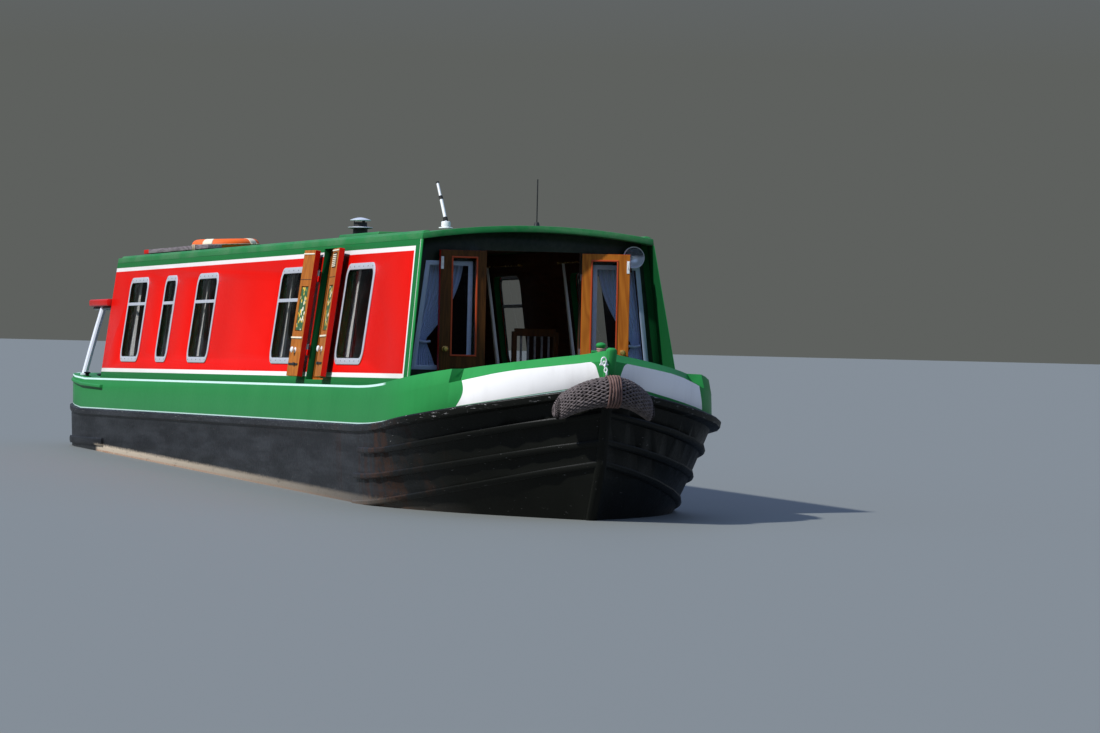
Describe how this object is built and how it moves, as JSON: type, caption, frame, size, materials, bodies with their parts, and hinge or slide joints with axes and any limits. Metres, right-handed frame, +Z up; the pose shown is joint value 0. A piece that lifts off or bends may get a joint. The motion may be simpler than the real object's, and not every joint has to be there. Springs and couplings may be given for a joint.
{
  "type": "narrowboat",
  "caption": "Long slim steel canal boat with a full-length cabin, open stern deck behind a rail, well deck at the bow, hinged doors, side hatch, rudder and propeller.",
  "frame": {"origin": "under the middle of the whole boat, on the underside of the base plate", "axes": "+X to the bow, +Y to port, +Z up"},
  "size_m": [13.8874, 2.141, 2.5094],
  "materials": {
    "hull_black": "satin black bitumen, rusty in places",
    "band_green": "gloss enamel",
    "deck_grey": "non-slip paint",
    "bare_steel": "dull",
    "timber": "varnished boards",
    "side_red": "gloss enamel",
    "window_silver": "anodised frame with a dark pane",
    "roof_green": "satin enamel",
    "front_green": "gloss enamel",
    "corner_glass": "clear, dark behind",
    "bronze": "cast",
    "white_paint": "gloss enamel",
    "rail_red": "gloss enamel",
    "cast_black": "satin black",
    "ring_orange": "painted, weathered",
    "grey_wood": "painted, weathered",
    "lamp_chrome": "polished",
    "fender_rope": "dark woven rope",
    "curtain_cloth": "thin woven cloth",
    "leaf_wood": "varnished"
  },
  "bodies": {
    "boat": {"base_plate": "hull_black", "lower_hull": "hull_black", "swim": "hull_black", "counter_plate": "hull_black", "topsides": "band_green", "stern_deck": "deck_grey", "engine_block": "bare_steel", "ballast": "bare_steel", "cabin_floor": "timber", "well_floor": "deck_grey", "fore_deck": "band_green", "cabin_side_starboard": "side_red", "cabin_side_port": "side_red", "window_starboard_1": "window_silver", "window_starboard_2": "window_silver", "window_starboard_3": "window_silver", "window_starboard_4": "window_silver", "window_starboard_5": "window_silver", "window_port_1": "window_silver", "window_port_2": "window_silver", "window_port_3": "window_silver", "window_port_4": "window_silver", "window_port_5": "window_silver", "roof": "roof_green", "front_bulkhead": "front_green", "rear_bulkhead": "front_green", "corner_pane_port": "corner_glass", "corner_pane_starboard": "corner_glass", "taffrail_frame": "white_paint", "taffrail_top": "rail_red", "chimney": "cast_black", "roof_box": "roof_green", "leaning_mast": "white_paint", "whip_aerial": "cast_black", "life_ring": "ring_orange", "plank": "grey_wood", "plank_chock_1": "roof_green", "plank_chock_2": "roof_green", "tunnel_lamp": "lamp_chrome", "bow_fender": "fender_rope", "curtain_port": "curtain_cloth", "curtain_starboard": "curtain_cloth"},
    "steering": {"steering": "bare_steel"},
    "propeller": {"propeller": "bronze"},
    "front_door_port": {"front_door_port": "leaf_wood"},
    "front_door_starboard": {"front_door_starboard": "leaf_wood"},
    "side_hatch_aft": {"side_hatch_aft": "leaf_wood"},
    "side_hatch_fore": {"side_hatch_fore": "leaf_wood"},
    "stern_door_port": {"stern_door_port": "side_red"},
    "stern_door_starboard": {"stern_door_starboard": "side_red"},
    "sliding_hatch": {"sliding_hatch": "rail_red"}
  },
  "joints": [
    {"name": "steering_turn", "type": "hinge", "parent": "boat", "child": "steering", "pos_m": [-6.5277, 0, 0.9], "axis": [0, 0, 1], "range_deg": [-40, 40]},
    {"name": "propeller_spin", "type": "hinge", "parent": "boat", "child": "propeller", "pos_m": [-6.2237, 0, 0.262], "axis": [1, 0, 0], "continuous": true},
    {"name": "front_door_port_swing", "type": "hinge", "parent": "boat", "child": "front_door_port", "pos_m": [4.9323, 0.318, 1.2], "axis": [0, 0, 1], "range_deg": [-165, 0]},
    {"name": "front_door_starboard_swing", "type": "hinge", "parent": "boat", "child": "front_door_starboard", "pos_m": [4.9323, -0.318, 1.2], "axis": [0, 0, 1], "range_deg": [0, 177]},
    {"name": "side_hatch_aft_swing", "type": "hinge", "parent": "boat", "child": "side_hatch_aft", "pos_m": [2.2723, -0.89904, 1.174], "axis": [0, 0.1309, 0.9914], "range_deg": [0, 176]},
    {"name": "side_hatch_fore_swing", "type": "hinge", "parent": "boat", "child": "side_hatch_fore", "pos_m": [2.8123, -0.89904, 1.174], "axis": [0, 0.1309, 0.9914], "range_deg": [-176, 0]},
    {"name": "stern_door_port_swing", "type": "hinge", "parent": "boat", "child": "stern_door_port", "pos_m": [-5.4177, 0.3, 1.6], "axis": [0, 0, 1], "range_deg": [-170, 0]},
    {"name": "stern_door_starboard_swing", "type": "hinge", "parent": "boat", "child": "stern_door_starboard", "pos_m": [-5.4177, -0.3, 1.6], "axis": [0, 0, 1], "range_deg": [0, 170]},
    {"name": "sliding_hatch_slide", "type": "slide", "parent": "boat", "child": "sliding_hatch", "axis": [1, 0, 0], "range_m": [0, 0.6]}
  ]
}
